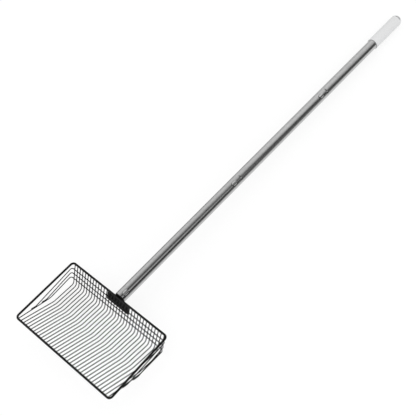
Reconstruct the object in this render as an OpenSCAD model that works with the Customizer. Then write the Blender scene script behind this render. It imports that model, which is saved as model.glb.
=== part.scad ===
// Wire basket scoop on a three-section tube pole, lying on the heel of its basket and the tip of its grip.
// The basket opens upwards, +X is to its right and the pole runs towards +Y. Millimetres.

/* [Basket] */
// Width over the rim wire
basket_w = 270; // [220:1:330]
// Length over the rim wire, back to front
basket_l = 163; // [145:1:200]
// Depth of the floor wires at the heel, below the rim
heel_depth = 53.5; // [46:0.5:70]
// Depth of the floor wires where the front slope starts
slope_depth = 44.7; // [38:0.5:46]
// Distance from the back rim to the start of the front slope
slope_start = 80; // [65:1:100]
// How far the heel lies in front of the back rim
wall_lean = 22.8; // [12:0.2:30]
// Centre line radius of the rim's corners
rim_corner_r = 7; // [5:0.5:12]

/* [Basket wires] */
// Diameter of the rim wire
rim_d = 4.5; // [3.5:0.1:6]
// Diameter of the hoop and rib wires
wire_d = 2; // [1.8:0.1:3]
// Number of ribs
rib_count = 33; // [21:2:37]
// Space between the rim's side and the lower hoop's foot on the front rim
foot_inset = 5.8; // [4:0.1:10]
// Space between the rim's side and the outermost rib at the back rim
rib_inset = 6.4; // [4:0.1:10]
// Bend radius of the ribs where the slope meets the floor
slope_bend_r = 28; // [10:1:45]
// Bend radius of the ribs at the heel
heel_bend_r = 8; // [4:0.5:12]
// Depth of the upper hoop below the rim
hoop_depth = 12.2; // [9:0.1:14]
// Height between one hoop and the next
hoop_pitch = 11.9; // [8:0.1:13]
// Centre line radius of the hoops' back corners
hoop_corner_r = 5; // [4:0.5:12]
// How much deeper the upper and middle hoops end than they run round the back
hoop_sag = 2.9; // [1:0.1:4]
// Length of their ends, bent to lie along the lower hoop's slope
hoop_foot = 13; // [8:0.5:14]
// Bend radius of those ends
hoop_foot_r = 6; // [4:0.5:10]

/* [Mounting plate] */
// Width of the plate
plate_w = 62; // [45:1:90]
// Distance down the back wall that the plate reaches
plate_reach = 26.5; // [18:0.5:30]
// Thickness of the plate
plate_t = 2.5; // [1.5:0.1:4]
// Radius of the plate's corners
plate_corner_r = 2; // [1:0.5:5]

/* [Pole] */
// Outer diameter of the tubes
tube_d = 25.4; // [24:0.1:30]
// Wall of the tubes and of the stub
tube_wall = 1; // [0.8:0.1:1.5]
// Gap all round between a reduced end and the tube over it
slip_gap = 0.2; // [0.15:0.05:0.3]
// Distance from the back rim to the mouth of the lower tube
tube_start = 4; // [4:0.5:12]
// Visible length of the lower tube
lower_len = 379; // [250:1:500]
// Visible length of the middle tube
middle_len = 331; // [250:1:500]
// Length of the upper tube from its seam to the mouth of the grip
upper_len = 215; // [150:1:400]
// Length of a reduced end inside the tube over it
insert_len = 45; // [38:1:70]
// Length of the stub inside the lower tube
stub_insert = 62; // [58:1:80]
// Length of the cone between a tube and its reduced end
swage_len = 3; // [2:0.5:6]
// Depth of the pole's axis below the rim, at the back rim
pole_depth = 4.5; // [3:0.1:6]
// Angle by which the pole drops towards the grip
pole_drop = 1.2; // [0:0.1:4]

/* [Snap buttons] */
// Width of a button
button_w = 9; // [7:0.5:10]
// Length of a button along the pole
button_l = 14; // [11:0.5:15]
// Height of a button above the tube
button_rise = 2.2; // [1.5:0.1:3]
// Height of a button's rounded top
button_dome = 2.2; // [1:0.1:2.6]
// Gap all round between a button and its holes
button_gap = 0.6; // [0.5:0.1:1]
// Distance of the base button from the lower tube's mouth
base_button_inset = 12; // [9:0.5:15]
// Distance of the other buttons from their seams
button_inset = 21; // [15:0.5:25]
// Turn of the buttons about the pole, from straight up towards +X
button_turn = 28; // [0:1:90]
// Width of a spring clip
clip_w = 8; // [6:0.5:9]
// Thickness of a spring clip
clip_t = 0.8; // [0.5:0.1:1]
// Length of a clip's leaf from its button to its fold
leaf_len = 36; // [30:1:38]
// Length of a clip's leaf past its button
leaf_tail = 8; // [7:0.5:9]
// Diameter of the rivet that joins a button to its leaf
rivet_d = 3; // [2:0.5:4]

/* [Grip] */
// Outer diameter of the grip
grip_d = 29; // [28:0.5:36]
// Length of the grip
grip_len = 124; // [100:1:160]
// Length of the grip's closed end
grip_end = 24; // [20:1:35]
// Length of the grip's domed tip
grip_dome = 13; // [6:0.5:13.5]
// Distance from the grip's tip to the middle of its hang slot
slot_inset = 12; // [8:0.5:15]
// Width of the hang slot along the grip
slot_w = 5; // [3:0.5:6]
// Length of the hang slot across the grip
slot_l = 16; // [10:0.5:18]
// Turn of the hang slot about the pole, from straight up towards +X
slot_turn = 17; // [0:1:90]

/* [Hidden] */
$fn = 64;
// Gap between two pieces that are welded or seated on each other
seat = 0.1;
// Play of the grip on its tube, and of a rivet in its leaf
grip_play = 0.2;
rivet_play = 0.05;
// Gap between a clip and the wall it springs against, and at the fold
leaf_gap = 0.3;
fold_gap = 0.2;
// Edge roundings
tube_edge = 0.3;
grip_mouth_edge = 0.8;
rivet_head_t = 0.5;
rivet_head_d = rivet_d + 1.4;
// How far a bend laps into the straight wire, and how much thinner it is
bend_lap = 0.1;
bend_thinning = 0.02;
// Extra length of cutting tools
over = 1;

// Rim centre lines
rim_x = (basket_w - rim_d) / 2;
rim_y = basket_l - rim_d;
rim_trim = rim_d / 2 + seat;

// Side profile of the ribs, as [y, z] in the basket's own frame
heel = [-wall_lean, -heel_depth];
slope_foot = [-slope_start, -slope_depth];
wall_angle = atan(wall_lean / heel_depth);

// Ribs are spread evenly between the lower hoop's feet, and between the insets at the back rim
rib_middle = (rib_count + 1) / 2;
foot_x = rim_x - foot_inset;
// How far the rim's corner bend turns in at the outer side of the lower hoop's foot
foot_in_bend = max(0, foot_x + wire_d / 2 + rim_corner_r - rim_x);
foot_creep = rim_corner_r - sqrt(pow(rim_corner_r, 2) - pow(foot_in_bend, 2));
front_pitch = 2 * foot_x / (rib_count + 1);
back_pitch = 2 * (rim_x - rib_inset) / (rib_count - 1);

// Hoops lie on the inner side of the back wall
hoop_offset = (wire_d + seat) / cos(wall_angle);
lower_depth = hoop_depth + 2 * hoop_pitch;
hoop_side_gap = wire_d + seat;

// Mounting plate, measured down the wall and out from the ribs' centre line
plate_top = rim_trim;
plate_in = wire_d / 2 + seat;
plate_out = plate_in + plate_t;

// Pole stations, measured along its axis from the back rim
tube_r = tube_d / 2;
reduced_r = tube_r - tube_wall - slip_gap;
reduced_inner_r = reduced_r - tube_wall;
seam_1 = tube_start + lower_len;
seam_2 = seam_1 + middle_len;
grip_mouth = seam_2 + upper_len;
tip = grip_mouth + grip_len;
base_button = tube_start + base_button_inset;
lower_button = seam_1 - button_inset;
upper_button = seam_2 - button_inset;

// Spring clips, in a frame with +X out through the button and +Z along the pole
clip_out = sqrt(pow(reduced_inner_r - leaf_gap, 2) - pow(clip_w / 2, 2));
clip_mid = clip_out - clip_t / 2;
button_top = tube_r + button_rise;
dome_r = (pow(button_w / 2, 2) + pow(button_dome, 2)) / (2 * button_dome);

// Grip
grip_r = grip_d / 2;
grip_bore_r = tube_r + grip_play;
grip_dome_r = (pow(grip_r, 2) + pow(grip_dome, 2)) / (2 * grip_dome);

// Resting pose: the heel bend of the ribs and the edge of the grip's dome both touch the floor
to_heel = (heel - slope_foot) / norm(heel - slope_foot);
to_rim = -heel / norm(heel);
heel_cut = heel_bend_r * tan(acos(to_heel * to_rim) / 2);
heel_centre = heel - to_heel * heel_cut + [-to_heel[1], to_heel[0]] * heel_bend_r;
heel_r = heel_bend_r + wire_d / 2;
pole_dir = [cos(pole_drop), -sin(pole_drop)];
pole_down = [-sin(pole_drop), -cos(pole_drop)];
pole_start = [0, -pole_depth];
dome_edge = pole_start + pole_dir * (tip - grip_dome) + pole_down * grip_r;
span = dome_edge - heel_centre;
rest_turn = asin(-heel_r / norm(span)) - atan2(span[1], span[0]);
rest_lift = heel_r - turned_z(heel_centre);

// Front and back ends of the resting scoop, and their middle
front_end_y = turned_y([-rim_y, 0]) - rim_d / 2;
tip_end_y = turned_y(pole_start + pole_dir * (tip - grip_dome_r)) + grip_dome_r;
rest_back = (front_end_y + tip_end_y) / 2;

function turned_y(p) = p[0] * cos(rest_turn) - p[1] * sin(rest_turn);
function turned_z(p) = p[0] * sin(rest_turn) + p[1] * cos(rest_turn);

// Name of rib i, with two digits
function rib_name(i) = str("rib_", i < 10 ? "0" : "", i);

// ---- Frames ----

// From the basket's frame, with the rim level and the back rim at y = 0, to the resting pose
module lying() {
    translate([0, -rest_back, rest_lift])
        rotate([rest_turn, 0, 0])
            children();
}

// From a frame with +Z along the pole and -Y up, to the resting pose
module on_pole(station = 0) {
    lying()
        translate([0, 0, -pole_depth])
            rotate([-90 - pole_drop, 0, 0])
                translate([0, 0, station])
                    children();
}

// From a frame with +Z along the pole and +X out at the given turn, to the pole's frame
module turned(turn) {
    rotate([0, 0, turn - 90])
        children();
}

// ---- Bent wire ----

function unit(v) = v / norm(v);

// Straight length of wire between two points
module straight_wire(from, to, d) {
    run = to - from;
    translate(from)
        rotate([0, acos(run[2] / norm(run)), atan2(run[1], run[0])])
            cylinder(d = d, h = norm(run));
}

// Bend at a corner. It is a hair thinner than the straight wire, and laps into it at both ends
module wire_bend(corner, dir_in, dir_out, r, d) {
    turn = acos(dir_in * dir_out);
    lap_angle = bend_lap / r * 180 / PI;
    axis = unit(cross(dir_in, dir_out));
    inward = cross(axis, dir_in);
    centre = corner - dir_in * r * tan(turn / 2) + inward * r;
    multmatrix([for (k = [0 : 2]) [-inward[k], dir_in[k], axis[k], centre[k]]])
        rotate([0, 0, -lap_angle])
            rotate_extrude(angle = turn + 2 * lap_angle)
                translate([r, 0])
                    circle(d = d - bend_thinning);
}

// Round wire through points. Each point has a bend radius, which is 0 at the ends of an open wire
module bent_wire(points, radii, d, closed = false) {
    count = len(points);
    runs = closed ? count : count - 1;
    dirs = [for (i = [0 : runs - 1]) unit(points[(i + 1) % count] - points[i])];
    cuts = [for (i = [0 : count - 1])
        radii[i] == 0 ? 0 : radii[i] * tan(acos(dirs[(i - 1 + runs) % runs] * dirs[i]) / 2)];
    union() {
        for (i = [0 : runs - 1]) {
            next = (i + 1) % count;
            straight_wire(points[i] + dirs[i] * cuts[i], points[next] - dirs[i] * cuts[next], d);
        }
        for (i = [0 : count - 1])
            if (radii[i] > 0)
                wire_bend(points[i], dirs[(i - 1 + runs) % runs], dirs[i], radii[i], d);
    }
}

function reversed(list) = [for (i = [len(list) - 1 : -1 : 0]) list[i]];

// Points of the right half of a wire, followed by their mirror images on the left
function both_sides(right) = concat(right, [for (p = reversed(right)) [-p[0], p[1], p[2]]]);

// ---- Basket ----

// Rim: a closed rectangle with round corners
module rim_wire() {
    corners = [[rim_x, -rim_y, 0], [rim_x, 0, 0], [-rim_x, 0, 0], [-rim_x, -rim_y, 0]];
    color("#1b1b1c")
        lying()
            bent_wire(corners, [for (c = corners) rim_corner_r], rim_d, closed = true);
}

// Y of a hoop's back run: on the inside of the ribs where they pass its depth
function hoop_back_y(depth) = -depth * tan(wall_angle) - hoop_offset;

// The lower hoop's side, as x at a given y between its foot and its back corner
function lower_side_x(y) =
    foot_x + (rim_x - foot_x) * (rim_y + y) / (rim_y + hoop_back_y(lower_depth));

// Y at which the lower hoop's sloping end passes a given depth
function foot_slope_y(depth) = -rim_y + (rim_y - slope_start) * depth / lower_depth;

// Lower hoop: round the back, along the sides, then down to feet on the front rim
module lower_hoop() {
    bend = [lower_side_x(-slope_start), -slope_start, -lower_depth];
    rim_point = [foot_x, -rim_y, 0];
    foot = rim_point + unit(bend - rim_point) * (rim_trim + foot_creep);
    corner = [rim_x, hoop_back_y(lower_depth), -lower_depth];
    right = [foot, bend, corner];
    radii = [0, slope_bend_r, hoop_corner_r];
    color("#1b1b1c")
        lying()
            bent_wire(both_sides(right), concat(radii, reversed(radii)), wire_d);
}

// Point on the outside of the lower hoop's sloping end, at a given depth
function beside_slope(depth) =
    [lower_side_x(foot_slope_y(depth)) + hoop_side_gap, foot_slope_y(depth), -depth];

// Upper or middle hoop: its ends bend to lie along the outside of the lower hoop's sloping ends
module side_hoop(depth) {
    end = beside_slope(depth + hoop_sag);
    bend = end + unit(beside_slope(lower_depth) - end) * hoop_foot;
    corner = [rim_x, hoop_back_y(depth), -depth];
    right = [end, bend, corner];
    radii = [0, hoop_foot_r, hoop_corner_r];
    color("#1b1b1c")
        lying()
            bent_wire(both_sides(right), concat(radii, reversed(radii)), wire_d);
}

module upper_hoop() {
    side_hoop(hoop_depth);
}

module middle_hoop() {
    side_hoop(hoop_depth + hoop_pitch);
}

// X of rib i at a given y: the ribs spread slightly from front to back
function rib_x(i, y) =
    (i - rib_middle) * (front_pitch + (back_pitch - front_pitch) * (rim_y + y) / rim_y);

// Point of rib i at a [y, z] of the side profile
function rib_point(i, p) = [rib_x(i, p[0]), p[0], p[1]];

// Rib: front rim, front slope, floor, heel, back wall and back rim
module rib(i) {
    front = rib_point(i, [-rim_y, 0]);
    foot = rib_point(i, slope_foot);
    back_heel = rib_point(i, heel);
    back = rib_point(i, [0, 0]);
    front_end = front + unit(foot - front) * rim_trim;
    back_end = back + unit(back_heel - back) * rim_trim;
    color("#1b1b1c")
        lying()
            bent_wire([front_end, foot, back_heel, back_end], [0, slope_bend_r, heel_bend_r, 0], wire_d);
}

// From a frame with -Z down the back wall and +Y out of the basket, to the basket's frame
module on_wall() {
    rotate([-wall_angle, 0, 0])
        children();
}

// Flat outline of the plate, with round corners
module plate_outline() {
    half_w = plate_w / 2;
    union() {
        translate([-half_w + plate_corner_r, -plate_reach])
            square([plate_w - 2 * plate_corner_r, plate_reach - plate_top]);
        translate([-half_w, -plate_reach + plate_corner_r])
            square([plate_w, plate_reach - plate_top - 2 * plate_corner_r]);
        for (x = [-1, 1], y = [-plate_reach + plate_corner_r, -plate_top - plate_corner_r])
            translate([x * (half_w - plate_corner_r), y])
                circle(r = plate_corner_r);
    }
}

module mounting_plate() {
    color("#19191a")
        lying()
            on_wall()
                translate([0, plate_out, 0])
                    rotate([90, 0, 0])
                        linear_extrude(plate_t)
                            plate_outline();
}

// ---- Pole ----

// Tube of revolution from z = 0 up, given as [radius, z] points of its outer side and its bore radii
module open_tube(outer, bore) {
    rotate_extrude()
        polygon(concat(outer, reversed(bore)));
}

// Bar along +X with an oval section, which is longer along Z
module oval_bar(length, width, reach) {
    flat = length - width;
    translate([0, -width / 2, -flat / 2])
        cube([reach, width, flat]);
    for (end = [-1, 1])
        translate([0, 0, end * flat / 2])
            rotate([0, 90, 0])
                cylinder(d = width, h = reach);
}

// Hole through one wall of a tube for a button
module button_hole(station) {
    translate([0, 0, station])
        turned(button_turn)
            oval_bar(button_l + 2 * button_gap, button_w + 2 * button_gap, tube_r + over);
}

// Stub: a tube cut to sit on the plate's outer face and the back of the rim
module pole_stub() {
    back_cut = tube_d;
    stub_end = tube_start + stub_insert;
    color("#19191a")
        difference() {
            on_pole(-back_cut / 2)
                difference() {
                    open_tube(
                        [[reduced_r, 0],
                         [reduced_r, stub_end + back_cut / 2 - tube_edge],
                         [reduced_r - tube_edge, stub_end + back_cut / 2]],
                        [[reduced_inner_r, 0], [reduced_inner_r, stub_end + back_cut / 2]]);
                    button_hole(base_button + back_cut / 2);
                }
            lying()
                on_wall()
                    translate([-tube_d, -2 * tube_d + plate_out, -2 * tube_d - plate_top])
                        cube([2 * tube_d, 2 * tube_d, 2 * tube_d]);
            lying()
                translate([-tube_d, -2 * tube_d + rim_trim, -rim_trim])
                    cube([2 * tube_d, 2 * tube_d, 2 * tube_d]);
        }
}

// Lower tube: plain at both ends, over the stub below and the middle tube's reduced end above
module lower_tube() {
    inner_r = tube_r - tube_wall;
    color("#b9bbbd")
        on_pole()
            difference() {
                open_tube(
                    [[tube_r - tube_edge, tube_start], [tube_r, tube_start + tube_edge],
                     [tube_r, seam_1 - tube_edge], [tube_r - tube_edge, seam_1]],
                    [[inner_r, tube_start], [inner_r, seam_1]]);
                button_hole(base_button);
                button_hole(lower_button);
            }
}

// Outline of a tube with a reduced end below its seam and a plain end at the top
function reduced_outer(seam, top) = [
    [reduced_r - tube_edge, seam - insert_len],
    [reduced_r, seam - insert_len + tube_edge],
    [reduced_r, seam + slip_gap],
    [tube_r, seam + slip_gap + swage_len],
    [tube_r, top - tube_edge],
    [tube_r - tube_edge, top]
];
function reduced_bore(seam, top) = [
    [reduced_inner_r, seam - insert_len],
    [reduced_inner_r, seam + slip_gap],
    [tube_r - tube_wall, seam + slip_gap + swage_len],
    [tube_r - tube_wall, top]
];

module middle_tube() {
    color("#b9bbbd")
        on_pole()
            difference() {
                open_tube(reduced_outer(seam_1, seam_2), reduced_bore(seam_1, seam_2));
                button_hole(lower_button);
                button_hole(upper_button);
            }
}

module upper_tube() {
    top = tip - grip_end;
    color("#b9bbbd")
        on_pole()
            difference() {
                open_tube(reduced_outer(seam_2, top), reduced_bore(seam_2, top));
                button_hole(upper_button);
            }
}

// Slot with round ends, right through the grip's closed end
module hang_slot() {
    translate([0, 0, tip - slot_inset])
        turned(slot_turn)
            translate([-grip_d / 2 - over, 0, 0])
                rotate([90, 0, 0])
                    oval_bar(slot_l, slot_w, grip_d + 2 * over);
}

// What is cut off a square tip to leave the dome
module around_dome() {
    difference() {
        translate([0, 0, tip - grip_dome_r])
            cylinder(r = grip_d, h = grip_dome_r + over);
        translate([0, 0, tip - grip_dome_r])
            sphere(r = grip_dome_r);
    }
}

// Grip: a closed sleeve over the upper tube, with a domed tip and a slot to hang it by
module grip() {
    bore_end = tip - grip_end + seat;
    color("#dfe0e0")
        on_pole()
            difference() {
                rotate_extrude()
                    polygon([
                        [grip_bore_r, grip_mouth], [grip_r - grip_mouth_edge, grip_mouth],
                        [grip_r, grip_mouth + grip_mouth_edge], [grip_r, tip],
                        [0, tip], [0, bore_end], [grip_bore_r, bore_end]]);
                around_dome();
                hang_slot();
            }
}

// ---- Snap buttons and their spring clips ----

module at_button(station) {
    on_pole(station)
        turned(button_turn)
            children();
}

// Button: an oval block with a rounded top, riveted through its leaf
module snap_button(station) {
    color("#c9cbcc")
        at_button(station) {
            intersection() {
                translate([clip_out, 0, 0])
                    oval_bar(button_l, button_w, button_top - clip_out);
                translate([button_top - dome_r, 0, -button_l / 2 - over])
                    cylinder(r = dome_r, h = button_l + 2 * over);
            }
            rotate([0, 90, 0]) {
                translate([0, 0, clip_out - clip_t])
                    cylinder(d = rivet_d, h = clip_t + over);
                translate([0, 0, clip_out - clip_t - rivet_head_t])
                    cylinder(d = rivet_head_d, h = rivet_head_t);
            }
        }
}

// Leaf: the front leg of a clip, which carries the button and bends at the fold
module clip_leaf(station) {
    color("#8f9294")
        at_button(station)
            difference() {
                translate([clip_out - clip_t, -clip_w / 2, -leaf_tail])
                    cube([clip_t, clip_w, leaf_tail + leaf_len - fold_gap]);
                rotate([0, 90, 0])
                    cylinder(d = rivet_d + 2 * rivet_play, h = clip_out + over);
            }
}

// Clip: the fold and the back leg, which press on the far wall
module spring_clip(station) {
    color("#8f9294")
        at_button(station) {
            translate([-clip_out, -clip_w / 2, -leaf_tail])
                cube([clip_t, clip_w, leaf_tail + leaf_len]);
            translate([0, 0, leaf_len])
                rotate([90, 0, 0])
                    rotate_extrude(angle = 180)
                        translate([clip_out - clip_t, -clip_w / 2])
                            square([clip_t, clip_w]);
        }
}

rim_wire();
upper_hoop();
middle_hoop();
lower_hoop();
for (i = [1 : rib_count])
    rib(i);
mounting_plate();
pole_stub();
lower_tube();
middle_tube();
upper_tube();
grip();
snap_button(base_button);
snap_button(lower_button);
snap_button(upper_button);
clip_leaf(base_button);  // base_leaf
clip_leaf(lower_button);  // lower_leaf
clip_leaf(upper_button);  // upper_leaf
spring_clip(base_button);  // base_clip
spring_clip(lower_button);  // lower_clip
spring_clip(upper_button);  // upper_clip
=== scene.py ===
"""Looks of a leaf scoop: a welded wire basket on a three-section tube pole with a moulded grip.

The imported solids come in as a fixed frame, in metres. The scoop lies on the floor with its basket's mouth
up and its pole towards +Y. This script gives every solid its finish, adds the welds, the plate's soft edges
and the moulded grip, and sets up a plain studio with a camera above the basket's front right corner.
"""

import logging
import math
import random
from collections.abc import Callable, Iterable
from dataclasses import dataclass, field
from enum import Enum

import bmesh
import bpy
from mathutils import Matrix, Vector


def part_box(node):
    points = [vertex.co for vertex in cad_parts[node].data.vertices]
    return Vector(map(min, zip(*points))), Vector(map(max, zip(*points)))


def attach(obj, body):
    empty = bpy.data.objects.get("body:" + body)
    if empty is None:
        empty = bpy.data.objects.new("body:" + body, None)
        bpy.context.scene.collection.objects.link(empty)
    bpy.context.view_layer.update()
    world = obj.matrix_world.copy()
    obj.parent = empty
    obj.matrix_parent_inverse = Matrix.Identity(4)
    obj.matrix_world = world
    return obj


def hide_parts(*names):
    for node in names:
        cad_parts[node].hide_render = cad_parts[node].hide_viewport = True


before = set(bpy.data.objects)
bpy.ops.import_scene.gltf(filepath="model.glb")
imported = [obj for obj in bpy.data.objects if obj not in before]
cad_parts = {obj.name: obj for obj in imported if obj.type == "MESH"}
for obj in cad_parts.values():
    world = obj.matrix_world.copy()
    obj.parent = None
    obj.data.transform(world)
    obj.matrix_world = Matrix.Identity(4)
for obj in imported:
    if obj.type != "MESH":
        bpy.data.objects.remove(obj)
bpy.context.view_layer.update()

log = logging.getLogger("scoop")

MM = 0.001
SEAT = 0.1 * MM  # gap between pieces that are welded to each other
MERGE = 0.0001 * MM  # points closer than this become one
SHARP_DEG = 35.0  # edges that turn by more than this stay sharp
WELD_SHARP_DEG = 80.0  # the same on welds, which are soft all over
EDGE_STEPS = 3  # flats in a rounded edge
LEVEL = 0.9  # a face is level where its normal's Z is over this, up or down
ROOT_BODY = "scoop"


class Slot(Enum):
    """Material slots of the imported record."""

    BLACK_COATING = "black_coating"
    TUBE_METAL = "tube_metal"
    GRIP_PLASTIC = "grip_plastic"
    BUTTON_STEEL = "button_steel"
    SPRING_STEEL = "spring_steel"


class Kind(Enum):
    """Kinds of mesh items that are selected by their place."""

    EDGES = "edges"
    FACES = "faces"


# ---- Node trees ----


class Sheet:
    """A node tree with short calls to add and link nodes."""

    def __init__(self, tree: bpy.types.NodeTree) -> None:
        """Takes over a tree.

        Args:
            tree: The node tree to fill.
        """
        self.tree = tree

    def add(self, kind: str, **settings: object) -> bpy.types.Node:
        """Adds a node and sets its properties and input sockets.

        Args:
            kind: Node type, such as "ShaderNodeTexNoise".
            **settings: Properties by name, or input sockets by name with _ for a space. A socket takes a
                value or another node's output socket.

        Returns:
            The new node.
        """
        node = self.tree.nodes.new(kind)
        for name, value in settings.items():
            if hasattr(node, name):
                setattr(node, name, value)
        for name, value in settings.items():
            if not hasattr(node, name):
                self.feed(node.inputs[name.replace("_", " ")], value)
        return node

    def feed(self, socket: bpy.types.NodeSocket, value: object) -> None:
        """Links a socket to another one, or gives it a value.

        Args:
            socket: The input socket.
            value: An output socket, or a plain value.
        """
        if isinstance(value, bpy.types.NodeSocket):
            self.tree.links.new(value, socket)
        else:
            socket.default_value = value

    def math(self, operation: str, first: object, second: object = 0.0) -> bpy.types.NodeSocket:
        """Adds a Math node.

        Args:
            operation: The node's operation, such as "MULTIPLY".
            first: First value or socket.
            second: Second value or socket.

        Returns:
            The node's output.
        """
        node = self.tree.nodes.new("ShaderNodeMath")
        node.operation = operation
        self.feed(node.inputs[0], first)
        self.feed(node.inputs[1], second)
        return node.outputs[0]

    def ramp(
        self, factor: bpy.types.NodeSocket, stops: Iterable[tuple[float, float]]
    ) -> bpy.types.NodeSocket:
        """Adds a grey colour ramp.

        Args:
            factor: Where on the ramp, from 0 to 1.
            stops: Positions and grey values, in order.

        Returns:
            The ramp's colour.
        """
        node = self.tree.nodes.new("ShaderNodeValToRGB")
        elements = node.color_ramp.elements
        stops = list(stops)
        while len(elements) < len(stops):
            elements.new(1.0)
        for element, (position, level) in zip(elements, stops):
            element.position = position
            element.color = grey(level)
        self.feed(node.inputs["Fac"], factor)
        return node.outputs["Color"]

    def mix(self, factor: object, first: object, second: object) -> bpy.types.NodeSocket:
        """Mixes two colours.

        Args:
            factor: Share of the second colour.
            first: First colour or socket.
            second: Second colour or socket.

        Returns:
            The mixed colour.
        """
        node = self.tree.nodes.new("ShaderNodeMix")
        node.data_type = "RGBA"
        self.feed(node.inputs["Factor"], factor)
        self.feed(node.inputs["A"], first)
        self.feed(node.inputs["B"], second)
        return node.outputs["Result"]

    def bump(
        self, shader: bpy.types.Node, height: bpy.types.NodeSocket, distance: float, strength: float
    ) -> None:
        """Bumps a shader's surface.

        Args:
            shader: The Principled shader.
            height: Height from 0 to 1.
            distance: Height in metres that 1 stands for.
            strength: Strength of the bump.
        """
        node = self.add("ShaderNodeBump", Strength=strength, Distance=distance, Height=height)
        self.feed(shader.inputs["Normal"], node.outputs["Normal"])


def grey(value: float) -> tuple[float, float, float, float]:
    """Returns an opaque neutral colour."""
    return (value, value, value, 1.0)


def new_group(
    name: str, inputs: dict[str, float], outputs: dict[str, str]
) -> tuple[Sheet, dict[str, bpy.types.NodeSocket], bpy.types.Node]:
    """Makes an empty shader node group with named sockets.

    Args:
        name: Name of the group.
        inputs: Default values of its float inputs, by name.
        outputs: Socket types of its outputs, by name.

    Returns:
        The group's sheet, its inputs by name, and its output node.
    """
    tree = bpy.data.node_groups.new(name, "ShaderNodeTree")
    for label, value in inputs.items():
        socket = tree.interface.new_socket(label, in_out="INPUT", socket_type="NodeSocketFloat")
        socket.default_value = value
    for label, kind in outputs.items():
        tree.interface.new_socket(label, in_out="OUTPUT", socket_type=kind)
    sheet = Sheet(tree)
    entry = tree.nodes.new("NodeGroupInput")
    exit_node = tree.nodes.new("NodeGroupOutput")
    return sheet, {label: entry.outputs[label] for label in inputs}, exit_node


def place_group(sheet: Sheet, group: bpy.types.NodeTree, **values: float) -> bpy.types.Node:
    """Places a node group in a material.

    Args:
        sheet: The material's sheet.
        group: The group.
        **values: Values or sockets for its inputs, by name.

    Returns:
        The group node.
    """
    node = sheet.tree.nodes.new("ShaderNodeGroup")
    node.node_tree = group
    for label, value in values.items():
        sheet.feed(node.inputs[label], value)
    return node


@dataclass(frozen=True)
class Effects:
    """Node groups that more than one finish uses."""

    skin: bpy.types.NodeTree
    lengthwise: bpy.types.NodeTree
    scuffs: bpy.types.NodeTree

    @classmethod
    def make(cls) -> "Effects":
        """Builds each group once."""
        return cls(cls.make_skin(), cls.make_lengthwise(), cls.make_scuffs())

    @staticmethod
    def make_skin() -> bpy.types.NodeTree:
        """Makes the fine uneven skin of a coated, moulded or cast surface.

        Returns:
            A group that puts out a height, and a slow variation from 0 to 1.
        """
        outputs = {"Height": "NodeSocketFloat", "Variation": "NodeSocketFloat"}
        sheet, entry, exit_node = new_group("surface_skin", {"Grain": 900.0, "Patch": 60.0}, outputs)
        place = sheet.add("ShaderNodeTexCoord").outputs["Object"]
        fine = sheet.add("ShaderNodeTexNoise", Vector=place, Scale=entry["Grain"], Detail=3.0)
        slow = sheet.add("ShaderNodeTexNoise", Vector=place, Scale=entry["Patch"], Detail=2.0)
        sheet.feed(exit_node.inputs["Height"], fine.outputs["Fac"])
        sheet.feed(exit_node.inputs["Variation"], slow.outputs["Fac"])
        return sheet.tree

    @staticmethod
    def make_lengthwise() -> bpy.types.NodeTree:
        """Makes fine lines along the pole, as drawing or polishing leaves them.

        Returns:
            A group that puts out a height, and broad streaks from 0 to 1.
        """
        streaks_per_line = 0.12
        outputs = {"Height": "NodeSocketFloat", "Streaks": "NodeSocketFloat"}
        sheet, entry, exit_node = new_group("lengthwise_lines", {"Lines": 2200.0, "Stretch": 0.01}, outputs)
        place = sheet.add("ShaderNodeTexCoord").outputs["Object"]
        scale = sheet.add("ShaderNodeCombineXYZ", X=1.0, Y=entry["Stretch"], Z=1.0)
        drawn = sheet.add("ShaderNodeMapping", Vector=place, Scale=scale.outputs["Vector"])
        lines = sheet.add("ShaderNodeTexNoise", Vector=drawn.outputs[0], Scale=entry["Lines"], Detail=2.0)
        broad = sheet.math("MULTIPLY", entry["Lines"], streaks_per_line)
        streaks = sheet.add("ShaderNodeTexNoise", Vector=drawn.outputs[0], Scale=broad, Detail=3.0)
        sheet.feed(exit_node.inputs["Height"], lines.outputs["Fac"])
        sheet.feed(exit_node.inputs["Streaks"], streaks.outputs["Fac"])
        return sheet.tree

    @staticmethod
    def make_scuffs() -> bpy.types.NodeTree:
        """Makes rubbed patches on what lies near the floor, and thin scratches everywhere.

        Returns:
            A group that puts out a rubbed mask and a scratch mask, from 0 to 1.
        """
        patch_scale, scratch_scale, gap_scale = 420.0, 45.0, 90.0
        rub_stops = ((0.18, 0.0), (0.42, 1.0))
        scratch_stops = ((0.0, 1.0), (0.005, 0.0))
        gap_stops = ((0.54, 0.0), (0.62, 1.0))
        outputs = {"Rubbed": "NodeSocketFloat", "Scratches": "NodeSocketFloat"}
        sheet, entry, exit_node = new_group("scuffs", {"Reach": 0.004, "Amount": 1.0}, outputs)
        place = sheet.add("ShaderNodeTexCoord").outputs["Object"]
        height = sheet.add("ShaderNodeSeparateXYZ", Vector=place).outputs["Z"]
        near = sheet.math("SUBTRACT", 1.0, sheet.math("DIVIDE", height, entry["Reach"]))
        patch = sheet.add("ShaderNodeTexNoise", Vector=place, Scale=patch_scale, Detail=4.0).outputs["Fac"]
        rubbed = sheet.ramp(sheet.math("MULTIPLY", near, patch), rub_stops)
        cells = sheet.add(
            "ShaderNodeTexVoronoi", feature="DISTANCE_TO_EDGE", Vector=place, Scale=scratch_scale)
        lines = sheet.ramp(cells.outputs["Distance"], scratch_stops)
        gaps = sheet.add("ShaderNodeTexNoise", Vector=place, Scale=gap_scale, Detail=2.0).outputs["Fac"]
        broken = sheet.ramp(gaps, gap_stops)
        sheet.feed(exit_node.inputs["Rubbed"], sheet.math("MULTIPLY", rubbed, entry["Amount"]))
        sheet.feed(exit_node.inputs["Scratches"], sheet.math("MULTIPLY", lines, broken))
        return sheet.tree


# ---- Finishes ----


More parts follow.
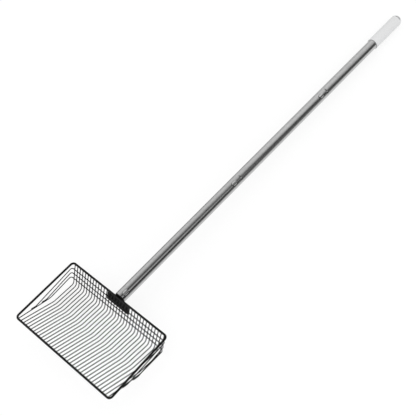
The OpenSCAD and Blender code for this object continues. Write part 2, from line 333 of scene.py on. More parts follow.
class Finish:
    """Base of the finishes: a named material with one Principled shader."""

    name: str

    def start(self) -> tuple[bpy.types.Material, Sheet, bpy.types.Node]:
        """Makes the material with an empty tree, its shader and its output.

        Returns:
            The material, its sheet and its Principled shader.
        """
        material = bpy.data.materials.new(self.name)
        material.use_nodes = True
        material.node_tree.nodes.clear()
        sheet = Sheet(material.node_tree)
        shader = sheet.add("ShaderNodeBsdfPrincipled")
        sheet.add("ShaderNodeOutputMaterial", Surface=shader.outputs["BSDF"])
        return material, sheet, shader


@dataclass(frozen=True)
class CoatedWire(Finish):
    """Black coating on steel: smooth, with a slight orange peel, rubbed grey where it lies on the floor."""

    name: str = Slot.BLACK_COATING.value
    colour: float = 0.005
    shades: tuple[float, float] = (0.7, 1.5)
    shade_stops: tuple[tuple[float, float], ...] = ((0.3, 0.0), (0.7, 1.0))
    patch: float = 45.0
    rubbed_colour: float = 0.03
    rubbed_roughness: float = 0.2
    rub_reach: float = 5.0 * MM
    rub_share: float = 0.8
    scratch_share: float = 0.5
    roughness: float = 0.40
    roughness_spread: float = 0.16
    gloss: float = 0.22
    peel: float = 0.03 * MM
    peel_grain: float = 750.0
    peel_strength: float = 0.5

    def build(self, effects: Effects) -> bpy.types.Material:
        """Makes the material.

        Args:
            effects: The shared node groups.

        Returns:
            The material.
        """
        material, sheet, shader = self.start()
        shader.inputs["Specular IOR Level"].default_value = self.gloss
        skin = place_group(sheet, effects.skin, Grain=self.peel_grain, Patch=self.patch)
        scuffs = place_group(sheet, effects.scuffs, Reach=self.rub_reach, Amount=self.rub_share)
        darkest, palest = (grey(self.colour * share) for share in self.shades)
        shade = sheet.mix(sheet.ramp(skin.outputs["Variation"], self.shade_stops), darkest, palest)
        worn = sheet.mix(scuffs.outputs["Rubbed"], shade, grey(self.rubbed_colour))
        scratched = sheet.math("MULTIPLY", scuffs.outputs["Scratches"], self.scratch_share)
        sheet.feed(shader.inputs["Base Color"], sheet.mix(scratched, worn, grey(self.rubbed_colour)))
        cloudy = sheet.math("MULTIPLY", skin.outputs["Variation"], self.roughness_spread)
        clean = sheet.math("ADD", cloudy, self.roughness - self.roughness_spread / 2)
        rougher = sheet.math("MULTIPLY", scuffs.outputs["Rubbed"], self.rubbed_roughness)
        sheet.feed(shader.inputs["Roughness"], sheet.math("ADD", clean, rougher))
        sheet.bump(shader, skin.outputs["Height"], self.peel, self.peel_strength)
        return material


@dataclass(frozen=True)
class DrawnTube(Finish):
    """Drawn aluminium tube: satin, with fine lines along it, faint mottling and handling marks."""

    name: str = Slot.TUBE_METAL.value
    colour: float = 0.53
    shades: tuple[float, float] = (0.84, 1.14)
    mottle: float = 130.0
    spots: float = 260.0
    lines: float = 2400.0
    line_stretch: float = 0.012
    streak_shade: float = 0.72
    streak_share: float = 0.35
    scratch_shade: float = 0.55
    scratch_share: float = 0.5
    roughness: float = 0.19
    streak_roughness: float = 0.10
    spot_roughness: float = 0.08
    line_depth: float = 0.006 * MM
    line_strength: float = 0.4

    def build(self, effects: Effects) -> bpy.types.Material:
        """Makes the material.

        Args:
            effects: The shared node groups.

        Returns:
            The material.
        """
        material, sheet, shader = self.start()
        shader.inputs["Metallic"].default_value = 1.0
        lines = place_group(sheet, effects.lengthwise, Lines=self.lines, Stretch=self.line_stretch)
        skin = place_group(sheet, effects.skin, Grain=self.spots, Patch=self.mottle)
        scuffs = place_group(sheet, effects.scuffs)
        darkest, palest = (grey(self.colour * share) for share in self.shades)
        mottled = sheet.mix(skin.outputs["Variation"], darkest, palest)
        streaks = sheet.math("MULTIPLY", lines.outputs["Streaks"], self.streak_share)
        streaked = sheet.mix(streaks, mottled, grey(self.colour * self.streak_shade))
        scratches = sheet.math("MULTIPLY", scuffs.outputs["Scratches"], self.scratch_share)
        scratched = sheet.mix(scratches, streaked, grey(self.colour * self.scratch_shade))
        sheet.feed(shader.inputs["Base Color"], scratched)
        along_lines = sheet.math("MULTIPLY", lines.outputs["Streaks"], self.streak_roughness)
        in_spots = sheet.math("MULTIPLY", skin.outputs["Height"], self.spot_roughness)
        spread = self.streak_roughness + self.spot_roughness
        rough = sheet.math("ADD", sheet.math("ADD", along_lines, in_spots), self.roughness - spread / 2)
        sheet.feed(shader.inputs["Roughness"], rough)
        sheet.bump(shader, lines.outputs["Height"], self.line_depth, self.line_strength)
        return material


@dataclass(frozen=True)
class MouldedGrip(Finish):
    """Off-white moulded plastic: satin, with a fine grain, faint clouds, and grime near the floor."""

    name: str = Slot.GRIP_PLASTIC.value
    colour: tuple[float, float, float] = (0.715, 0.72, 0.725)
    grime: tuple[float, float, float] = (0.50, 0.49, 0.46)
    clouds: float = 30.0
    cloud_share: float = 0.12
    mark_share: float = 0.5
    scratch_share: float = 0.3
    rub_reach: float = 6.0 * MM
    rub_share: float = 0.5
    roughness: float = 0.42
    roughness_spread: float = 0.12
    gloss: float = 0.2
    grain: float = 0.04 * MM
    grain_scale: float = 1500.0
    grain_strength: float = 0.35

    def build(self, effects: Effects) -> bpy.types.Material:
        """Makes the material.

        Args:
            effects: The shared node groups.

        Returns:
            The material.
        """
        material, sheet, shader = self.start()
        shader.inputs["Specular IOR Level"].default_value = self.gloss
        skin = place_group(sheet, effects.skin, Grain=self.grain_scale, Patch=self.clouds)
        scuffs = place_group(sheet, effects.scuffs, Reach=self.rub_reach, Amount=self.rub_share)
        cloudy = sheet.math("MULTIPLY", skin.outputs["Variation"], self.cloud_share)
        clean = sheet.mix(cloudy, (*self.colour, 1.0), (*self.grime, 1.0))
        scratches = sheet.math("MULTIPLY", scuffs.outputs["Scratches"], self.scratch_share)
        marks = sheet.math("MAXIMUM", scuffs.outputs["Rubbed"], scratches)
        marked = sheet.mix(sheet.math("MULTIPLY", marks, self.mark_share), clean, (*self.grime, 1.0))
        sheet.feed(shader.inputs["Base Color"], marked)
        spread = sheet.math("MULTIPLY", skin.outputs["Variation"], self.roughness_spread)
        rough = sheet.math("ADD", spread, self.roughness - self.roughness_spread / 2)
        sheet.feed(shader.inputs["Roughness"], rough)
        sheet.bump(shader, skin.outputs["Height"], self.grain, self.grain_strength)
        return material


@dataclass(frozen=True)
class SmoothSteel(Finish):
    """Bare steel of the buttons and their springs: fine grain, a little cloudy."""

    name: str
    colour: float
    roughness: float
    shades: tuple[float, float] = (0.85, 1.1)
    clouds: float = 220.0
    roughness_spread: float = 0.14
    grain: float = 0.01 * MM
    grain_scale: float = 1800.0
    grain_strength: float = 0.3

    def build(self, effects: Effects) -> bpy.types.Material:
        """Makes the material.

        Args:
            effects: The shared node groups.

        Returns:
            The material.
        """
        material, sheet, shader = self.start()
        shader.inputs["Metallic"].default_value = 1.0
        skin = place_group(sheet, effects.skin, Grain=self.grain_scale, Patch=self.clouds)
        darkest, palest = (grey(self.colour * share) for share in self.shades)
        sheet.feed(shader.inputs["Base Color"], sheet.mix(skin.outputs["Variation"], darkest, palest))
        spread = sheet.math("MULTIPLY", skin.outputs["Variation"], self.roughness_spread)
        rough = sheet.math("ADD", spread, self.roughness - self.roughness_spread / 2)
        sheet.feed(shader.inputs["Roughness"], rough)
        sheet.bump(shader, skin.outputs["Height"], self.grain, self.grain_strength)
        return material


# ---- Modelling ----


def clear_selection() -> None:
    """Leaves every object unselected and none active."""
    if bpy.context.mode != "OBJECT":
        bpy.ops.object.mode_set(mode="OBJECT")
    bpy.ops.object.select_all(action="DESELECT")
    bpy.context.view_layer.objects.active = None


def named(name: str) -> bpy.types.Object:
    """Gives the primitive that was just added its name.

    Args:
        name: Name of the object and its mesh.

    Returns:
        The object.
    """
    piece = bpy.context.active_object
    piece.name = name
    piece.data.name = name
    return piece


def select_where(
    piece: bpy.types.Object, kind: Kind, wanted: Callable[[bmesh.types.BMFace | bmesh.types.BMEdge], bool]
) -> None:
    """Selects only the faces or edges that pass a test. The piece is in edit mode.

    Args:
        piece: The piece.
        kind: Whether faces or edges are tested.
        wanted: The test.
    """
    mesh = bmesh.from_edit_mesh(piece.data)
    for item in (*mesh.verts, *mesh.edges, *mesh.faces):
        item.select = False
    for item in getattr(mesh, kind.value):
        if wanted(item):
            item.select_set(True)
    bmesh.update_edit_mesh(piece.data)


def apply_modifier(piece: bpy.types.Object, kind: str, **settings: object) -> None:
    """Adds a modifier to a piece and applies it.

    Args:
        piece: The piece.
        kind: Modifier type, such as "BEVEL".
        **settings: The modifier's properties.
    """
    modifier = piece.modifiers.new(kind.lower(), kind)
    for name, value in settings.items():
        setattr(modifier, name, value)
    clear_selection()
    piece.select_set(True)
    bpy.context.view_layer.objects.active = piece
    bpy.ops.object.modifier_apply(modifier=modifier.name)


def soften_edges(piece: bpy.types.Object, radius: float, turn_deg: float) -> None:
    """Rounds the sharp edges of a piece.

    Args:
        piece: The piece.
        radius: Radius of the rounding.
        turn_deg: Edges that turn by more than this are rounded.
    """
    apply_modifier(
        piece, "BEVEL", width=radius, segments=EDGE_STEPS, limit_method="ANGLE",
        angle_limit=math.radians(turn_deg))


def settle(piece: bpy.types.Object, place: Matrix, sharp_deg: float = SHARP_DEG) -> None:
    """Puts a piece's place into its mesh, closes it up and shades it.

    Args:
        piece: The piece.
        place: From the piece's own frame to the row frame.
        sharp_deg: Edges that turn by more than this stay sharp.
    """
    clear_selection()
    piece.data.transform(place @ piece.matrix_world)
    piece.matrix_world = Matrix.Identity(4)
    mesh = bmesh.new()
    mesh.from_mesh(piece.data)
    bmesh.ops.remove_doubles(mesh, verts=mesh.verts, dist=MERGE)
    bmesh.ops.recalc_face_normals(mesh, faces=mesh.faces)
    mesh.to_mesh(piece.data)
    mesh.free()
    piece.select_set(True)
    bpy.context.view_layer.objects.active = piece
    bpy.ops.object.shade_smooth_by_angle(angle=math.radians(sharp_deg))
    clear_selection()


def dress(piece: bpy.types.Object, material: bpy.types.Material) -> None:
    """Gives a piece one material.

    Args:
        piece: The piece.
        material: Its material.
    """
    piece.data.materials.clear()
    piece.data.materials.append(material)


def join_copies(name: str, pattern: bpy.types.Object, places: Iterable[Matrix]) -> bpy.types.Object:
    """Copies a pattern to many places as one piece, and deletes the pattern.

    Args:
        name: Name of the piece.
        pattern: What is copied, modelled round the origin.
        places: From the pattern's frame to the piece's, once for each copy.

    Returns:
        The joined piece.
    """
    mesh = bmesh.new()
    for place in places:
        before = len(mesh.verts)
        mesh.from_mesh(pattern.data)
        mesh.verts.ensure_lookup_table()
        bmesh.ops.transform(mesh, matrix=place, verts=mesh.verts[before:])
    data = bpy.data.meshes.new(name)
    mesh.to_mesh(data)
    mesh.free()
    piece = bpy.data.objects.new(name, data)
    bpy.context.scene.collection.objects.link(piece)
    bpy.data.objects.remove(pattern)
    return piece


def along(direction: Vector, side: Vector) -> Matrix:
    """Returns a turn that takes X along a direction and Z towards a side.

    Args:
        direction: Where X goes.
        side: Roughly where Z goes.

    Returns:
        The turn, as a 4 by 4 matrix.
    """
    x = direction.normalized()
    y = side.cross(x).normalized()
    return Matrix((x, y, x.cross(y))).transposed().to_4x4()


# ---- Basket ----


@dataclass(frozen=True)
class WeldShape:
    """Sizes of one kind of spot weld against the plain lump. A pair of numbers is a range to draw from."""

    length: float | tuple[float, float]
    width: float | tuple[float, float]
    height: float

    def draw(self, shake: random.Random) -> Matrix:
        """Draws the sizes of one weld.

        Args:
            shake: Source of the small differences between welds.

        Returns:
            The stretch from the plain lump.
        """
        sizes = (self.length, self.width, self.height)
        drawn = [shake.uniform(*size) if isinstance(size, tuple) else size for size in sizes]
        return Matrix.Diagonal((*drawn, 1.0))


@dataclass
class Basket:
    """Welded wire basket with its mounting plate and stub.

    Its own frame has the rim level and the middle of the back rim's centre line at the origin. Sizes are in
    metres. Proportions of a weld lump are for a ball of radius 1, before it is scaled to half a wire.
    """

    material: bpy.types.Material
    plate_material: bpy.types.Material
    rim_d: float = 4.5 * MM
    rim_x: float = 132.75 * MM
    rim_y: float = 158.5 * MM
    wire_d: float = 2.0 * MM
    ribs: int = 33
    foot_inset: float = 5.8 * MM
    rib_inset: float = 6.4 * MM
    heel: Vector = field(default_factory=lambda: Vector((0.0, -22.8, -53.5)) * MM)
    slope_foot: Vector = field(default_factory=lambda: Vector((0.0, -80.0, -44.7)) * MM)
    hoop_depths: tuple[float, ...] = (12.2 * MM, 24.1 * MM, 36.0 * MM)
    hoop_sag: float = 2.9 * MM
    plate_w: float = 62.0 * MM
    plate_reach: float = 26.5 * MM
    plate_t: float = 2.5 * MM
    plate_corner_r: float = 2.0 * MM
    plate_corner_steps: int = 6
    plate_edge_r: float = 0.45 * MM
    plate_edge_deg: float = 50.0
    stub_r: float = 11.5 * MM
    pole_depth: float = 4.5 * MM
    pole_drop_deg: float = 1.2
    lump_sides: int = 10
    lump_rings: int = 6
    lump_top: float = 0.75
    lump_hollow: float = 0.16
    lump_sizes: tuple[float, float, float] = (1.05, 1.05, 0.62)
    end_weld: WeldShape = WeldShape((1.1, 1.4), (1.15, 1.35), 2.0)
    crossing_weld: WeldShape = WeldShape((1.0, 1.3), (0.9, 1.2), 1.1)
    foot_weld: WeldShape = WeldShape(1.2, 1.2, 2.0)
    side_weld: WeldShape = WeldShape((0.9, 1.2), 0.7, 1.2)
    side_weld_shift: float = 1.2 * MM
    weld_seed: int = 7
    bead_out: float = 0.3 * MM
    bead_r: float = 0.9 * MM
    bead_sides: int = 12
    bead_rings: int = 72
    bead_ripple: tuple[float, float] = (0.86, 1.14)
    bead_seed: int = 3
    place: Matrix = field(init=False)
    wall_angle: float = field(init=False)

    def __post_init__(self) -> None:
        """Works out where the basket lies from the rim's box."""
        low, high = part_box("rim_wire")
        tilt = math.asin((high.z - low.z - self.rim_d) / self.rim_y)
        turn = Matrix.Rotation(-tilt, 4, "X")
        middle = turn @ Vector((0.0, -self.rim_y / 2, 0.0))
        self.place = Matrix.Translation((low + high) / 2 - middle) @ turn
        self.wall_angle = math.atan2(-self.heel.y, -self.heel.z)

    @property
    def wire_nodes(self) -> list[str]:
        """Lists the wires.

        Returns:
            Names of their nodes.
        """
        ribs = [f"rib_{i:02d}" for i in range(1, self.ribs + 1)]
        return ["rim_wire", "upper_hoop", "middle_hoop", "lower_hoop", *ribs]

    def rib_x(self, i: int, y: float) -> float:
        """Finds where a rib is across the basket. The ribs spread slightly towards the back.

        Args:
            i: Number of the rib, from 1.
            y: Where along the basket.

        Returns:
            The X of the rib.
        """
        front_pitch = 2 * (self.rim_x - self.foot_inset) / (self.ribs + 1)
        back_pitch = 2 * (self.rim_x - self.rib_inset) / (self.ribs - 1)
        share = (self.rim_y + y) / self.rim_y
        return (i - (self.ribs + 1) / 2) * (front_pitch + (back_pitch - front_pitch) * share)

    def nugget(self) -> bpy.types.Object:
        """Models a plain spot weld: a soft flat lump with a pressed-in top.

        Returns:
            The lump, round the origin.
        """
        clear_selection()
        bpy.ops.mesh.primitive_uv_sphere_add(
            segments=self.lump_sides, ring_count=self.lump_rings, radius=1.0)
        lump = named("nugget")
        bpy.ops.object.mode_set(mode="EDIT")
        select_where(lump, Kind.FACES, lambda face: face.calc_center_median().z > self.lump_top)
        bpy.ops.transform.translate(value=(0.0, 0.0, -self.lump_hollow))
        bpy.ops.mesh.select_all(action="SELECT")
        sizes = [size * self.wire_d / 2 for size in self.lump_sizes]
        bpy.ops.transform.resize(value=sizes, center_override=(0.0, 0.0, 0.0))
        bpy.ops.object.mode_set(mode="OBJECT")
        return lump

    def weld_places(self) -> list[Matrix]:
        """Finds every crossing and butt joint of the wires.

        Returns:
            Places of the welds, in the basket's own frame.
        """
        shake = random.Random(self.weld_seed)
        places = []
        wall_out = Vector((0.0, math.cos(self.wall_angle), -math.sin(self.wall_angle)))
        across = Vector((1.0, 0.0, 0.0))
        reach = self.rim_d / 2
        for i in range(1, self.ribs + 1):
            front = Vector((self.rib_x(i, -self.rim_y), -self.rim_y, 0.0))
            foot = Vector((self.rib_x(i, self.slope_foot.y), self.slope_foot.y, self.slope_foot.z))
            back = Vector((self.rib_x(i, 0.0), 0.0, 0.0))
            down = Vector((self.rib_x(i, self.heel.y), self.heel.y, self.heel.z)) - back
            ends = ((front, (foot - front).normalized()), (back, down.normalized()))
            for end, run in ends:
                stretch = self.end_weld.draw(shake)
                places.append(Matrix.Translation(end + run * reach) @ along(across, run) @ stretch)
            for depth in self.hoop_depths:
                spot = back + down * (depth / -self.heel.z) - wall_out * (self.wire_d / 2)
                stretch = self.crossing_weld.draw(shake)
                places.append(Matrix.Translation(spot) @ along(across, wall_out) @ stretch)
        return places + self.side_weld_places(shake)

    def side_weld_places(self, shake: random.Random) -> list[Matrix]:
        """Finds the welds at the lower hoop's feet, and where the other hoops' ends lie beside its slope.

        Args:
            shake: Source of the small differences between welds.

        Returns:
            Places of the welds, in the basket's own frame.
        """
        places = []
        across, up = Vector((1.0, 0.0, 0.0)), Vector((0.0, 0.0, 1.0))
        wall = self.wall_angle
        lowest = self.hoop_depths[-1]
        back_y = -lowest * math.tan(wall) - (self.wire_d + SEAT) / math.cos(wall)
        foot_x = self.rim_x - self.foot_inset
        bend_x = foot_x + self.foot_inset * (self.rim_y + self.slope_foot.y) / (self.rim_y + back_y)
        for side in (-1.0, 1.0):
            front = Vector((side * foot_x, -self.rim_y, 0.0))
            slope = Vector((side * bend_x, self.slope_foot.y, -lowest)) - front
            run = slope.normalized()
            foot = Matrix.Translation(front + run * self.rim_d / 2)
            places.append(foot @ along(across, run) @ self.foot_weld.draw(shake))
            for depth in self.hoop_depths[:-1]:
                beside = front + slope * ((depth + self.hoop_sag) / lowest)
                beside.x += side * (self.wire_d + SEAT) / 2
                spot = Matrix.Translation(beside + run * self.side_weld_shift)
                places.append(spot @ along(run, up) @ self.side_weld.draw(shake))
        return places

    def add_welds(self) -> bpy.types.Object:
        """Adds the spot welds of the wires as one piece.

        Returns:
            The piece.
        """
        welds = join_copies("wire_welds", self.nugget(), self.weld_places())
        settle(welds, self.place, sharp_deg=WELD_SHARP_DEG)
        return welds

    def add_plate(self) -> bpy.types.Object:
        """Adds the mounting plate with rounded corners and softened edges.

        Returns:
            The plate.
        """
        top = self.rim_d / 2 + SEAT
        height = self.plate_reach - top
        inner = self.wire_d / 2 + SEAT
        clear_selection()
        bpy.ops.mesh.primitive_cube_add(size=1.0)
        plate = named("plate_body")
        bpy.ops.object.mode_set(mode="EDIT")
        bpy.ops.transform.resize(value=(self.plate_w, self.plate_t, height))
        select_where(
            plate, Kind.EDGES, lambda edge: abs(edge.verts[0].co.y - edge.verts[1].co.y) > self.plate_t / 2)
        bpy.ops.mesh.bevel(offset=self.plate_corner_r, segments=self.plate_corner_steps)
        bpy.ops.object.mode_set(mode="OBJECT")
        soften_edges(plate, self.plate_edge_r, self.plate_edge_deg)
        on_wall = Matrix.Rotation(-self.wall_angle, 4, "X") @ Matrix.Translation(
            (0.0, inner + self.plate_t / 2, -top - height / 2))
        settle(plate, self.place @ on_wall)
        return plate

    def add_stub_bead(self) -> bpy.types.Object:
        """Adds the weld bead where the stub meets the plate, with its ripples.

        Returns:
            The bead.
        """
        middle_r = self.stub_r + self.bead_out
        clear_selection()
        bpy.ops.mesh.primitive_torus_add(
            major_segments=self.bead_rings, minor_segments=self.bead_sides,
            major_radius=middle_r, minor_radius=self.bead_r)
        bead = named("stub_bead")
        shake = random.Random(self.bead_seed)
        ripple = [shake.uniform(*self.bead_ripple) for _ in range(self.bead_rings)]
        mesh = bmesh.new()
        mesh.from_mesh(bead.data)
        for vert in mesh.verts:
            angle = math.atan2(vert.co.y, vert.co.x)
            ring = round(angle / (2 * math.pi) * self.bead_rings) % self.bead_rings
            middle = Vector((math.cos(angle), math.sin(angle), 0.0)) * middle_r
            vert.co = middle + (vert.co - middle) * ripple[ring]
        mesh.to_mesh(bead.data)
        mesh.free()
        outer = self.wire_d / 2 + SEAT + self.plate_t
        slant = self.wall_angle + math.radians(self.pole_drop_deg)
        stretch = Matrix.Diagonal((1.0, 1.0 / math.cos(slant), 1.0, 1.0))
        lean = Matrix.Rotation(-self.wall_angle, 4, "X")
        face = lean @ Matrix.Rotation(math.radians(-90), 4, "X")
        centre_down = self.pole_depth * math.cos(self.wall_angle) + outer * math.tan(slant)
        shift = lean @ Vector((0.0, outer, -centre_down))
        settle(bead, self.place @ Matrix.Translation(shift) @ face @ stretch, sharp_deg=WELD_SHARP_DEG)
        return bead

    def build(self) -> list[bpy.types.Object]:
        """Dresses the wires and the stub, and adds welds, plate and bead.

        Returns:
            The added pieces.
        """
        for node in (*self.wire_nodes, "pole_stub"):
            dress(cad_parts[node], self.material)
        pieces = [self.add_welds(), self.add_plate(), self.add_stub_bead()]
        for piece in pieces:
            dress(piece, self.material)
            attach(piece, ROOT_BODY)
        dress(bpy.data.objects["plate_body"], self.plate_material)
        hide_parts("mounting_plate")
        return pieces


# ---- Pole ----


@dataclass
class Pole:
    """Three tubes with their snap buttons, and the moulded grip.

    Its own frame has +Z along the pole from the back rim, and -Y up. Sizes are in metres.
    """

    basket: Basket
    tube: bpy.types.Material
    plastic: bpy.types.Material
    button: bpy.types.Material
    spring: bpy.types.Material
    grip_d: float = 29.0 * MM
    grip_len: float = 123.9 * MM
    grip_dome: float = 12.9 * MM
    grip_bore_r: float = 12.75 * MM
    grip_end: float = 24.0 * MM
    slot_inset: float = 11.9 * MM
    slot_w: float = 5.0 * MM
    slot_l: float = 16.0 * MM
    slot_turn_deg: float = 17.0
    slot_roundness: float = 0.999
    slot_steps: int = 10
    tip: float = 1052.9 * MM
    grip_sides: int = 96
    dome_steps: int = 14
    grip_edge_r: float = 0.7 * MM
    grip_edge_deg: float = 40.0

    @property
    def place(self) -> Matrix:
        """From the pole's own frame to the row frame."""
        axis = Matrix.Rotation(math.radians(-90.0 - self.basket.pole_drop_deg), 4, "X")
        return self.basket.place @ Matrix.Translation((0.0, 0.0, -self.basket.pole_depth)) @ axis

    def add_slot_cutter(self) -> bpy.types.Object:
        """Models the tool that cuts the hang slot: a bar with round ends, right across the grip.

        Returns:
            The tool, in the pole's own frame.
        """
        clear_selection()
        bpy.ops.mesh.primitive_cube_add(size=1.0)
        cutter = named("slot_tool")
        bpy.ops.object.mode_set(mode="EDIT")
        bpy.ops.transform.resize(value=(2 * self.grip_d, self.slot_l, self.slot_w))
        select_where(
            cutter, Kind.EDGES, lambda edge: abs(edge.verts[0].co.x - edge.verts[1].co.x) > self.grip_d)
        bpy.ops.mesh.bevel(offset=self.slot_w / 2 * self.slot_roundness, segments=self.slot_steps)
        bpy.ops.object.mode_set(mode="OBJECT")
        turn = Matrix.Rotation(math.radians(self.slot_turn_deg - 90.0), 4, "Z")
        cutter.data.transform(Matrix.Translation((0.0, 0.0, self.tip - self.slot_inset)) @ turn)
        return cutter

    def add_grip(self) -> bpy.types.Object:
        """Models the grip: a bored sleeve with a domed tip, a soft mouth and the hang slot.

        Returns:
            The grip.
        """
        radius = self.grip_d / 2
        dome_r = (radius ** 2 + self.grip_dome ** 2) / (2 * self.grip_dome)
        straight = self.grip_len - self.grip_dome
        clear_selection()
        bpy.ops.mesh.primitive_cylinder_add(
            vertices=self.grip_sides, radius=radius, depth=straight, location=(0.0, 0.0, straight / 2))
        grip = named("grip_shell")
        bpy.ops.object.transform_apply(location=True, rotation=True, scale=True)
        bpy.ops.object.mode_set(mode="EDIT")
        select_where(grip, Kind.FACES, lambda face: face.normal.z > LEVEL)
        full = math.asin(radius / dome_r)
        if self.grip_dome > dome_r:
            full = math.pi - full
        last_r, last_z = radius, 0.0
        for step in range(1, self.dome_steps):
            angle = full * (1 - step / self.dome_steps)
            ring_r = dome_r * math.sin(angle)
            ring_z = self.grip_dome - dome_r * (1 - math.cos(angle))
            ratio = ring_r / last_r
            middle = (0.0, 0.0, straight + ring_z)
            bpy.ops.mesh.extrude_region_move(TRANSFORM_OT_translate={"value": (0.0, 0.0, ring_z - last_z)})
            bpy.ops.transform.resize(value=(ratio, ratio, 1.0), center_override=middle)
            last_r, last_z = ring_r, ring_z
        bpy.ops.transform.translate(value=(0.0, 0.0, self.grip_dome - last_z))
        select_where(grip, Kind.FACES, lambda face: face.normal.z < -LEVEL)
        bpy.ops.mesh.inset(thickness=radius - self.grip_bore_r)
        bpy.ops.mesh.extrude_region_move(
            TRANSFORM_OT_translate={"value": (0.0, 0.0, self.grip_len - self.grip_end)})
        bpy.ops.object.mode_set(mode="OBJECT")
        grip.data.transform(Matrix.Translation((0.0, 0.0, self.tip - self.grip_len)))
        cutter = self.add_slot_cutter()
        apply_modifier(grip, "BOOLEAN", operation="DIFFERENCE", solver="EXACT", object=cutter)
        bpy.data.objects.remove(cutter)
        soften_edges(grip, self.grip_edge_r, self.grip_edge_deg)
        settle(grip, self.place)
        return grip

    def build(self) -> list[bpy.types.Object]:
        """Dresses the tubes, buttons and springs, and adds the grip.

        Returns:
            The added pieces.
        """
        for section in ("lower", "middle", "upper"):
            dress(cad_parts[f"{section}_tube"], self.tube)
        for joint in ("base", "lower", "upper"):
            dress(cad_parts[f"{joint}_button"], self.button)
            dress(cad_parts[f"{joint}_leaf"], self.spring)
            dress(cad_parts[f"{joint}_clip"], self.spring)
        grip = self.add_grip()
        dress(grip, self.plastic)
        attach(grip, ROOT_BODY)
        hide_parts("grip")
        return [grip]


# ---- Studio ----


@dataclass(frozen=True)
class Lamp:
    """A square soft lamp: its name, where it hangs and its side in metres, and its power in watts."""

    name: str
    at: tuple[float, float, float]
    size: float
    power: float

    def build(self) -> None:
        """Hangs the lamp so that it faces the middle of the scoop and doesn't show in the metal."""
        data = bpy.data.lights.new(self.name, "AREA")
        data.size = self.size
        data.energy = self.power
        lamp = bpy.data.objects.new(self.name, data)
        lamp.location = self.at
        lamp.rotation_mode = "QUATERNION"
        lamp.rotation_quaternion = (-Vector(self.at)).to_track_quat("-Z", "Y")
        lamp.visible_glossy = False
        bpy.context.scene.collection.objects.link(lamp)


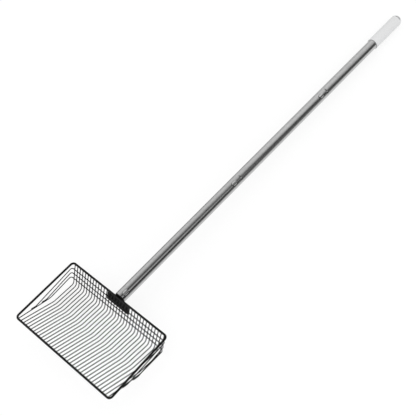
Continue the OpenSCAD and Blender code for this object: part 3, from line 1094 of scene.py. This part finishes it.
@dataclass
class Studio:
    """White floor, even light from all round, two soft lamps, and the camera.

    Each room holds the greys that a section of the pole mirrors, by angle about the pole in degrees, from
    straight up towards +X. A seam says how far forward a reflected ray points where one room meets the next.
    """

    basket: Basket
    camera_at: Vector = field(default_factory=lambda: Vector((599.0, -297.7, 1242.5)) * MM)
    looks_along: Vector = field(default_factory=lambda: Vector((-0.39853, 0.38457, -0.83264)))
    up: Vector = field(default_factory=lambda: Vector((-0.51137, 0.66046, 0.54981)))
    lens: float = 59.71
    sensor: float = 36.0
    clip: tuple[float, float] = (0.01, 100.0)
    frame_px: int = 416
    shift_px: tuple[float, float] = (-0.5, 0.45)
    lamps: tuple[Lamp, ...] = (
        Lamp("front_lamp", (-1.2, -2.6, 2.4), 1.8, 4.0), Lamp("side_lamp", (2.6, -1.4, 2.0), 1.8, 18.0))
    floor_size: float = 40.0
    room_level: float = 1.0
    floor_colour: float = 0.8
    floor_glow: float = 0.80
    floor_fade: tuple[tuple[float, float], ...] = ((0.06, 1.0), (0.15, 0.72), (0.28, 0.15))
    pole_slope: float = 0.033
    seams: tuple[float, float] = (0.4565, 0.6017)
    seam_blend: float = 0.008
    lower_room: dict[float, float] = field(default_factory=lambda: {
        -100.0: 0.86, -50.0: 0.98, -34.0: 0.88, -16.0: 0.62, 0.0: 0.36, 12.0: 0.10, 28.0: 0.10, 38.0: 0.30,
        44.0: 0.70, 54.0: 0.62, 62.0: 0.12, 68.0: 0.02, 86.0: 0.02, 94.0: 0.5})
    middle_room: dict[float, float] = field(default_factory=lambda: {
        -100.0: 0.9, -50.0: 1.0, -30.0: 1.08, -14.0: 1.02, 2.0: 0.92, 14.0: 0.68, 26.0: 0.25, 36.0: 0.03,
        54.0: 0.03, 68.0: 0.16, 82.0: 0.22, 94.0: 0.3})
    upper_room: dict[float, float] = field(default_factory=lambda: {
        -100.0: 0.86, -50.0: 0.90, -32.0: 1.04, -16.0: 0.96, 2.0: 0.82, 18.0: 0.72, 32.0: 0.55, 44.0: 0.25,
        56.0: 0.08, 70.0: 0.05, 82.0: 0.16, 94.0: 0.4})

    def add_floor(self) -> None:
        """Adds the floor: white to the camera with a faint shadow, and in reflections darker to the sides."""
        clear_selection()
        bpy.ops.mesh.primitive_plane_add(size=self.floor_size, location=(0.0, 0.0, 0.0))
        floor = named("floor")
        bpy.ops.object.transform_apply(location=True, rotation=True, scale=True)
        material = bpy.data.materials.new("floor_white")
        material.use_nodes = True
        material.node_tree.nodes.clear()
        sheet = Sheet(material.node_tree)
        plain = sheet.add("ShaderNodeBsdfDiffuse", Color=grey(self.floor_colour))
        rays = sheet.add("ShaderNodeLightPath").outputs
        place = sheet.add("ShaderNodeTexCoord").outputs["Object"]
        beside = sheet.math("ABSOLUTE", sheet.add("ShaderNodeSeparateXYZ", Vector=place).outputs["X"])
        near = sheet.ramp(beside, self.floor_fade)
        level = sheet.mix(rays["Is Glossy Ray"], grey(1.0), near)
        dimmed = sheet.mix(1.0 - self.floor_glow, grey(0.0), level)
        shadowed = sheet.add("ShaderNodeBsdfDiffuse", Color=dimmed)
        glow = sheet.add("ShaderNodeEmission", Color=level, Strength=self.floor_glow)
        shown = sheet.add("ShaderNodeAddShader")
        sheet.feed(shown.inputs[0], shadowed.outputs[0])
        sheet.feed(shown.inputs[1], glow.outputs[0])
        bent = sheet.math("MAXIMUM", rays["Is Glossy Ray"], rays["Is Transmission Ray"])
        seen = sheet.math("MAXIMUM", rays["Is Camera Ray"], bent)
        mix = sheet.add("ShaderNodeMixShader", Fac=seen)
        sheet.feed(mix.inputs[1], plain.outputs[0])
        sheet.feed(mix.inputs[2], shown.outputs[0])
        sheet.add("ShaderNodeOutputMaterial", Surface=mix.outputs[0])
        dress(floor, material)

    def add_world(self) -> None:
        """Lights the room: even for matt surfaces, white to the camera, and banded in reflections."""
        world = bpy.data.worlds.new("studio")
        bpy.context.scene.world = world
        world.use_nodes = True
        world.node_tree.nodes.clear()
        sheet = Sheet(world.node_tree)
        direction = sheet.add("ShaderNodeTexCoord").outputs["Generated"]
        parts = sheet.add("ShaderNodeSeparateXYZ", Vector=direction).outputs
        angle = sheet.math("ARCTAN2", parts["X"], parts["Z"])
        turned = sheet.math("ADD", sheet.math("MULTIPLY", angle, 1 / (2 * math.pi)), 1 / 2)
        forward = sheet.math("ADD", parts["Y"], sheet.math("MULTIPLY", parts["Z"], -self.pole_slope))
        shade = sheet.ramp(turned, self.around_pole(self.lower_room))
        for room, seam in ((self.middle_room, self.seams[0]), (self.upper_room, self.seams[1])):
            beyond = sheet.math("SUBTRACT", forward, seam - self.seam_blend)
            past = sheet.math("DIVIDE", beyond, 2 * self.seam_blend)
            past.node.use_clamp = True
            shade = sheet.mix(past, shade, sheet.ramp(turned, self.around_pole(room)))
        rays = sheet.add("ShaderNodeLightPath").outputs
        lit = sheet.mix(rays["Is Glossy Ray"], grey(self.room_level), shade)
        seen = sheet.mix(rays["Is Camera Ray"], lit, grey(1.0))
        back = sheet.add("ShaderNodeBackground", Color=seen, Strength=1.0)
        sheet.add("ShaderNodeOutputWorld", Surface=back.outputs[0])

    @staticmethod
    def around_pole(room: dict[float, float]) -> list[tuple[float, float]]:
        """Turns a room's brightness by angle about the pole into ramp stops.

        Args:
            room: Grey values by angle in degrees, from straight up towards +X.

        Returns:
            Ramp stops, with 0 for -180 degrees and 1 for +180.
        """
        return [((angle + 180.0) / 360.0, level) for angle, level in sorted(room.items())]

    def add_camera(self) -> None:
        """Adds the camera, placed in the basket's own frame."""
        data = bpy.data.cameras.new("camera")
        data.lens = self.lens
        data.sensor_width = self.sensor
        data.shift_x, data.shift_y = (pixels / self.frame_px for pixels in self.shift_px)
        data.clip_start, data.clip_end = self.clip
        camera = bpy.data.objects.new("camera", data)
        bpy.context.scene.collection.objects.link(camera)
        back = -self.looks_along.normalized()
        right = self.up.cross(back).normalized()
        up = back.cross(right)
        turn = Matrix((right, up, back)).transposed().to_4x4()
        camera.matrix_world = self.basket.place @ Matrix.Translation(self.camera_at) @ turn
        bpy.context.scene.camera = camera

    def build(self) -> None:
        """Adds floor, room, lamps and camera."""
        self.add_floor()
        self.add_world()
        for lamp in self.lamps:
            lamp.build()
        self.add_camera()
        bpy.context.scene.view_settings.view_transform = "Standard"


def main() -> None:
    """Builds the finishes, the basket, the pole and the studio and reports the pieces."""
    effects = Effects.make()
    basket = Basket(
        material=CoatedWire().build(effects),
        plate_material=CoatedWire("plate_coating", shades=(0.2, 5.0), patch=260.0).build(effects),
    )
    pieces = basket.build()
    pole = Pole(
        basket,
        tube=DrawnTube().build(effects),
        plastic=MouldedGrip().build(effects),
        button=SmoothSteel(Slot.BUTTON_STEEL.value, colour=0.58, roughness=0.24).build(effects),
        spring=SmoothSteel(Slot.SPRING_STEEL.value, colour=0.38, roughness=0.36).build(effects),
    )
    pieces += pole.build()
    Studio(basket).build()
    for piece in pieces:
        log.info("%s: %d faces", piece.name, len(piece.data.polygons))


if __name__ == "__main__":
    logging.basicConfig(level=logging.INFO, format="%(name)s: %(message)s")
    main()
